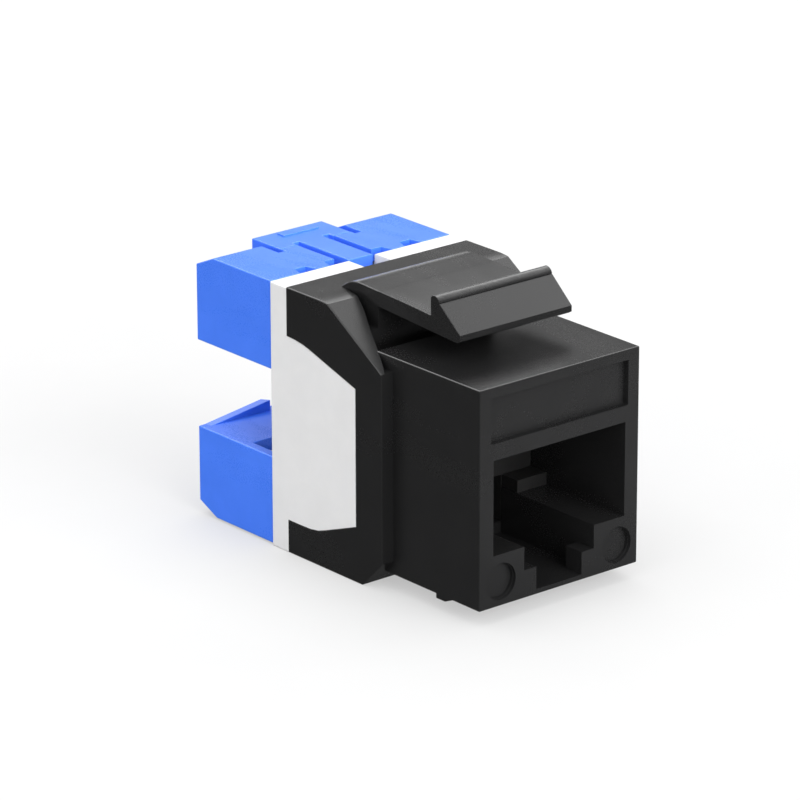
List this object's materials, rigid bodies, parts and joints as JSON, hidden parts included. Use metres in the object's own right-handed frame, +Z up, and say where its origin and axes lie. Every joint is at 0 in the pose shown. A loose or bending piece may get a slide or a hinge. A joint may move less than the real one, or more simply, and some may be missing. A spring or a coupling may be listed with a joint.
{
  "type": "keystone jack",
  "caption": "Keystone modular jack in black with a sprung panel latch, a front plug port, a white terminal block and blue push-on wire caps with release rockers at the rear.",
  "frame": {"origin": "middle of the bounding box's footprint, on the plane that the underside of the flange rests on", "axes": "+Y from the plug port at the front to the cable side at the rear, +X to the right seen from the front, +Z up towards the latch arm"},
  "size_m": [0.0166, 0.0298, 0.0216],
  "materials": {
    "black_plastic": "satin black moulded ABS",
    "white_plastic": "satin white moulded polycarbonate",
    "blue_plastic": "satin bright blue moulded polycarbonate",
    "insert_plastic": "matt dark moulded",
    "contact_gold": "gold-plated phosphor bronze",
    "terminal_bronze": "tinned phosphor bronze",
    "board_laminate": "solder mask over glass-epoxy laminate"
  },
  "bodies": {
    "housing": {"front_housing": "black_plastic", "contact_insert": "insert_plastic", "contact_leads": "contact_gold", "circuit_board": "board_laminate", "terminal_block": "white_plastic", "wire_terminal_1": "terminal_bronze", "wire_terminal_2": "terminal_bronze", "wire_terminal_3": "terminal_bronze", "wire_terminal_4": "terminal_bronze", "wire_terminal_5": "terminal_bronze", "wire_terminal_6": "terminal_bronze", "wire_terminal_7": "terminal_bronze", "wire_terminal_8": "terminal_bronze"},
    "latch": {"latch_arm": "black_plastic"},
    "upper_cap_body": {"upper_cap": "blue_plastic"},
    "upper_rocker_body": {"upper_release_rocker": "blue_plastic"},
    "lower_cap_body": {"lower_cap": "blue_plastic"},
    "lower_rocker_body": {"lower_release_rocker": "blue_plastic"},
    "contact_1_spring": {"jack_contact_1": "contact_gold"},
    "contact_2_spring": {"jack_contact_2": "contact_gold"},
    "contact_3_spring": {"jack_contact_3": "contact_gold"},
    "contact_4_spring": {"jack_contact_4": "contact_gold"},
    "contact_5_spring": {"jack_contact_5": "contact_gold"},
    "contact_6_spring": {"jack_contact_6": "contact_gold"},
    "contact_7_spring": {"jack_contact_7": "contact_gold"},
    "contact_8_spring": {"jack_contact_8": "contact_gold"}
  },
  "joints": [
    {"name": "latch_flex", "type": "hinge", "parent": "housing", "child": "latch", "pos_m": [0, -0.00179, 0.01932], "axis": [1, 0, 0], "range_deg": [0, 10], "stiffness_Nm_per_rad": 0.45},
    {"name": "upper_cap_slide", "type": "slide", "parent": "housing", "child": "upper_cap_body", "axis": [0, 1, 0], "range_m": [0, 0.012]},
    {"name": "lower_cap_slide", "type": "slide", "parent": "housing", "child": "lower_cap_body", "axis": [0, 1, 0], "range_m": [0, 0.012]},
    {"name": "upper_release_press", "type": "hinge", "parent": "upper_cap_body", "child": "upper_rocker_body", "pos_m": [0, 0.01151, 0.01884], "axis": [-1, 0, 0], "range_deg": [0, 6], "stiffness_Nm_per_rad": 0.14},
    {"name": "lower_release_press", "type": "hinge", "parent": "lower_cap_body", "child": "lower_rocker_body", "pos_m": [0, 0.01151, 0.00107], "axis": [1, 0, 0], "range_deg": [0, 6], "stiffness_Nm_per_rad": 0.14},
    {"name": "contact_1_flex", "type": "hinge", "parent": "housing", "child": "contact_1_spring", "pos_m": [-0.00356, -0.01112, 0.01239], "axis": [1, 0, 0], "range_deg": [0, 8], "stiffness_Nm_per_rad": 0.04},
    {"name": "contact_2_flex", "type": "hinge", "parent": "housing", "child": "contact_2_spring", "pos_m": [-0.00254, -0.01112, 0.01239], "axis": [1, 0, 0], "range_deg": [0, 8], "stiffness_Nm_per_rad": 0.04},
    {"name": "contact_3_flex", "type": "hinge", "parent": "housing", "child": "contact_3_spring", "pos_m": [-0.00152, -0.01112, 0.01239], "axis": [1, 0, 0], "range_deg": [0, 8], "stiffness_Nm_per_rad": 0.04},
    {"name": "contact_4_flex", "type": "hinge", "parent": "housing", "child": "contact_4_spring", "pos_m": [-0.00051, -0.01112, 0.01239], "axis": [1, 0, 0], "range_deg": [0, 8], "stiffness_Nm_per_rad": 0.04},
    {"name": "contact_5_flex", "type": "hinge", "parent": "housing", "child": "contact_5_spring", "pos_m": [0.00051, -0.01112, 0.01239], "axis": [1, 0, 0], "range_deg": [0, 8], "stiffness_Nm_per_rad": 0.04},
    {"name": "contact_6_flex", "type": "hinge", "parent": "housing", "child": "contact_6_spring", "pos_m": [0.00152, -0.01112, 0.01239], "axis": [1, 0, 0], "range_deg": [0, 8], "stiffness_Nm_per_rad": 0.04},
    {"name": "contact_7_flex", "type": "hinge", "parent": "housing", "child": "contact_7_spring", "pos_m": [0.00254, -0.01112, 0.01239], "axis": [1, 0, 0], "range_deg": [0, 8], "stiffness_Nm_per_rad": 0.04},
    {"name": "contact_8_flex", "type": "hinge", "parent": "housing", "child": "contact_8_spring", "pos_m": [0.00356, -0.01112, 0.01239], "axis": [1, 0, 0], "range_deg": [0, 8], "stiffness_Nm_per_rad": 0.04}
  ]
}
